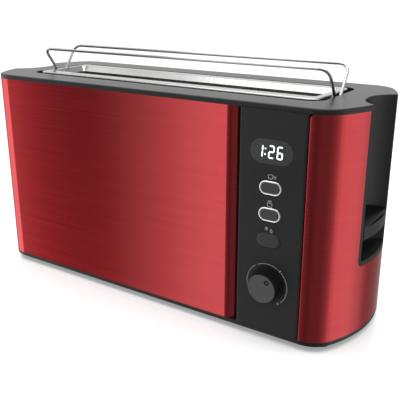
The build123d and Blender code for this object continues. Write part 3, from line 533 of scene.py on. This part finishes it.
def browningScale():
    front = middle("control_panel")[0][1]
    centre = middle("browning_knob")[2]
    back, face = front + scale["sunk"] * mm, front - scale["proud"] * mm
    shapes = []
    for one, two in scale["arcs"]:
        t = np.radians(np.linspace(one, two, 40))
        arc = stripPoint(np.stack([np.cos(t), np.sin(t)], 1) * scale["radius"], centre)
        shapes.append(carriedBar(arc, scale["line"] * mm, back, face))
    for angle, inner, outer, wide in scale["strokes"]:
        way = np.array([np.cos(np.radians(angle)), np.sin(np.radians(angle))])
        shapes.append(carriedBar(stripPoint([way * inner, way * outer], centre), wide * mm, back, face))
    return place(meshObject("browningScale", shapes, materials["markPale"]), "housing", "light_ring")


browningScale()
print("printed marks and scale")

# the browning knob: a collar, a plain body and a pale flat face with a finger dimple
knob = {
    "collarRadius": 14.5, "collarDepth": 2.6, "bodyRadius": 12.3, "bodyEdge": 0.3, "faceRadius": 11.95,
    "wellDepth": 0.85, "lipDepth": 0.02, "softening": [0.02, 0.02, 0.12, 0.25, 0.3, 0.5, 0.1],
    "flatRadius": 11.2, "flatRings": 90, "edgeRadii": [11.5, 11.72, 11.86, 11.9],
    "edgeDrops": [0.02, 0.07, 0.18, 0.5], "underDepth": 0.84,
    "dimple": (4.5, 6.3), "dimpleRadius": 2.3, "dimpleDepth": 0.5,
    "bead": (1.55, 1.3), "beadDepth": 0.32, "beadHeight": 0.22,
    "collarHighlightWidth": 0.35, "edgeInset": 0.42, "edgeDepth": 0.16, "edgeHeight": 0.16,
}


def knobPiece(name, shape, finish, sharp, *replaced):
    return place(meshObject(name, [shape], materials[finish], sharp), "knob", "knob_plastic", *replaced)


def browningKnob():
    low, high, centre = middle("browning_knob")
    deep = (high[1] - low[1]) / mm
    shoulder = deep - knob["collarDepth"]
    start = np.array([centre[0], low[1], centre[2]])
    bodyLine = softProfile(
        [(0, knob["wellDepth"]), (knob["faceRadius"], knob["wellDepth"]), (knob["faceRadius"], knob["lipDepth"]),
         (knob["bodyRadius"], knob["bodyEdge"]), (knob["bodyRadius"], shoulder), (knob["collarRadius"], shoulder),
         (knob["collarRadius"], deep), (0, deep)], knob["softening"])
    knobPiece("knobBody", turnedShape(bodyLine * mm, start, 144), "knobBlack", 40, "browning_knob")
    rings, outer = knob["flatRings"], knob["edgeRadii"][-1]
    radii = np.concatenate([np.linspace(0, knob["flatRadius"], rings), knob["edgeRadii"], [outer, 0]])
    drops = np.concatenate([np.zeros(rings), knob["edgeDrops"], [knob["underDepth"]] * 2])
    verts, faces = turnedShape(np.stack([radii, drops], 1) * mm, start, 200)
    # the dimple is a round bowl: its depth goes as the root of one less the square of the distance over its radius
    across, up = (verts[..., i] - start[i] - shift * mm for i, shift in zip((0, 2), knob["dimple"]))
    away = np.hypot(across, up) / (knob["dimpleRadius"] * mm)
    bowl = np.clip(1 - away ** 2, 0, 1) ** 0.5 * knob["dimpleDepth"] * mm
    verts[:rings + 2, :, 1] += bowl[:rings + 2]
    knobPiece("knobFace", (verts, faces), "knobFace", 45, "browning_knob")
    # painted shade: a dark bead lies round the bowl, standing for the shade on the dimple's wall
    spot = start + np.array([knob["dimple"][0], knob["beadDepth"], knob["dimple"][1]]) * mm
    beadRadius, beadWidth = knob["bead"]
    bead = beadRing(roundLoop(1, 1, 1, 24) * beadRadius * mm, spot, beadWidth * mm, knob["beadHeight"] * mm)
    knobPiece("knobDimpleShade", bead, "knobBlack", 60)
    # painted highlight: a fine bright line round the collar's front edge, in the pale face colour
    edge = start + np.array([0, shoulder + knob["edgeDepth"], 0]) * mm
    circle = roundLoop(1, 1, 1, 40) * (knob["collarRadius"] - knob["edgeInset"]) * mm
    knobPiece("collarHighlight", beadRing(circle, edge, knob["collarHighlightWidth"] * mm, knob["edgeHeight"] * mm, 10), "knobFace", 60)


browningKnob()
print("knob")

# the chrome rims of the lit buttons
rims = {"outer": (18.5, 11.0), "width": 1.35, "height": 0.5}


def buttonRim(name, node):
    low, _, centre = middle(node)
    across, tall = (np.array(rims["outer"]) - rims["width"]) / 2 * mm
    spot = np.array([centre[0], low[1] + rims["height"] * mm, centre[2]])
    shape = beadRing(roundLoop(across, tall, tall, 24), spot, rims["width"] * mm, rims["height"] * mm)
    return place(meshObject(name, [shape], materials["ringChrome"], 60), "housing", "light_ring", node)


for rimName, rimNode in (("rimReheat", "ring_reheat"), ("rimCancel", "ring_cancel")):
    buttonRim(rimName, rimNode)
print("button rims")

# the plain button: a shallow dome of rings. The ring at s, from 1 at the rim to 0, is drawn in by the inset times
# one less s, and its depth is the edge times one less the root of one less s to the fourth
pad = {"half": (10.0, 5.5), "edge": 0.55, "inset": 2.6, "rings": 12, "middle": 0.4}


def defrostPad():
    low, high, centre = middle("button_defrost")
    half = np.array(pad["half"]) * mm
    rim = roundLoop(*half, half[1], 24)
    s = np.linspace(1, 0, pad["rings"])[:, None, None]
    ring = rim[None] * (1 - (pad["inset"] * mm / half) * (1 - s))
    depth = low[1] + pad["edge"] * mm * (1 - (1 - s[..., 0] ** 4) ** 0.5)
    dome = np.stack([ring[..., 0], np.broadcast_to(depth, ring.shape[:2]), ring[..., 1]], -1)
    back = np.stack([rim[:, 0], np.full(len(rim), high[1]), rim[:, 1]], -1)[None]
    inner, tip = (dome[-1:] * [share, 1, share] for share in (pad["middle"], 0))
    rows = np.concatenate([back * [0, 1, 0], back, dome, inner, tip]) + [centre[0], 0, centre[2]]
    made = meshObject("defrostPad", [(rows, gridFaces(len(rows), len(rim)))], materials["defrostSatin"], 50)
    return place(made, "defrost_button", "button_plastic", "button_defrost")


defrostPad()
print("plain button")

# the lift spring: a wire wound on a cylinder. Each turn rises by an even share of the open length, and the turns
# at both ends rise by little more than the wire's thickness, so they lie closed
spring = {"wire": 0.45, "turns": 20, "steps": 26, "closed": 1.5, "closedPitch": 2.1, "sides": 8, "anchorZ": 0.18}


def liftSpring():
    low, high, centre = middle("lift_spring")
    wire, turns, closed, sides = spring["wire"] * mm, spring["turns"], spring["closed"], spring["sides"]
    radius = (high[0] - low[0]) / 2 - wire
    u = np.linspace(0, 1, turns * spring["steps"])
    angle = 2 * math.pi * turns * u
    climb = np.clip((u * turns - closed) / (turns - 2 * closed), 0, 1)
    pitch = spring["closedPitch"] * wire
    closedRise = pitch * np.clip(np.minimum(u, 1 - u) * turns, 0, closed)
    ends = np.where(u < 0.5, closedRise, pitch * 2 * closed - closedRise)
    span = (high[2] - low[2]) - 2 * wire - pitch * 2 * closed
    path = np.stack([centre[0] + radius * np.cos(angle), centre[1] + radius * np.sin(angle),
                     low[2] + wire + ends + span * climb], 1)
    along = unitRows(np.gradient(path, axis=0))
    out = np.stack([np.cos(angle), np.sin(angle), np.zeros_like(angle)], 1)
    up = np.cross(along, out)
    v = np.linspace(0, 2 * math.pi, sides, endpoint=False)[None, :, None]
    tube = path[:, None] + wire * (out[:, None] * np.cos(v) + up[:, None] * np.sin(v))
    first, last = (np.repeat(end[None], sides, 1) for end in (path[:1], path[-1:]))
    tube = np.concatenate([first, tube, last])
    piece = meshObject("liftSpring", [(tube, gridFaces(len(tube), sides))], materials["groundSteel"], 60)
    place(piece, "housing", "ground_steel", "lift_spring")
    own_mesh(piece)
    return piece


liftSpring()
print("lift spring")

# the floor, which isn't part of the object
ground = {"half": 20.0, "glossShare": 0.1, "glow": 0.27}


def floorFinish(tree):
    soft = grainNoise(tree, 3.0, 2.0)
    matt = addNode(tree, "ShaderNodeBsdfDiffuse", {"Color": (0.9, 0.9, 0.9, 1)})
    gloss = addNode(tree, "ShaderNodeBsdfGlossy", {"Color": (1, 1, 1, 1), "Roughness": spread(tree, soft, 0.12, 0.14)})
    both = addNode(tree, "ShaderNodeMixShader", {0: ground["glossShare"], 1: matt.outputs[0], 2: gloss.outputs[0]})
    lift = addNode(tree, "ShaderNodeEmission", {"Color": (1, 1, 1, 1), "Strength": ground["glow"]})
    return addNode(tree, "ShaderNodeAddShader", {0: both.outputs[0], 1: lift.outputs[0]}).outputs[0]


floorCorners = [(x * ground["half"], y * ground["half"], 0) for x, y in ((-1, -1), (1, -1), (1, 1), (-1, 1))]
floorPale = finishMaterial("floorPale", floorFinish)
floor = meshObject("floorPlane", [(floorCorners, [(0, 1, 2, 3)])], floorPale, tidy=False)
floor.visible_glossy = False

print("pieces placed")
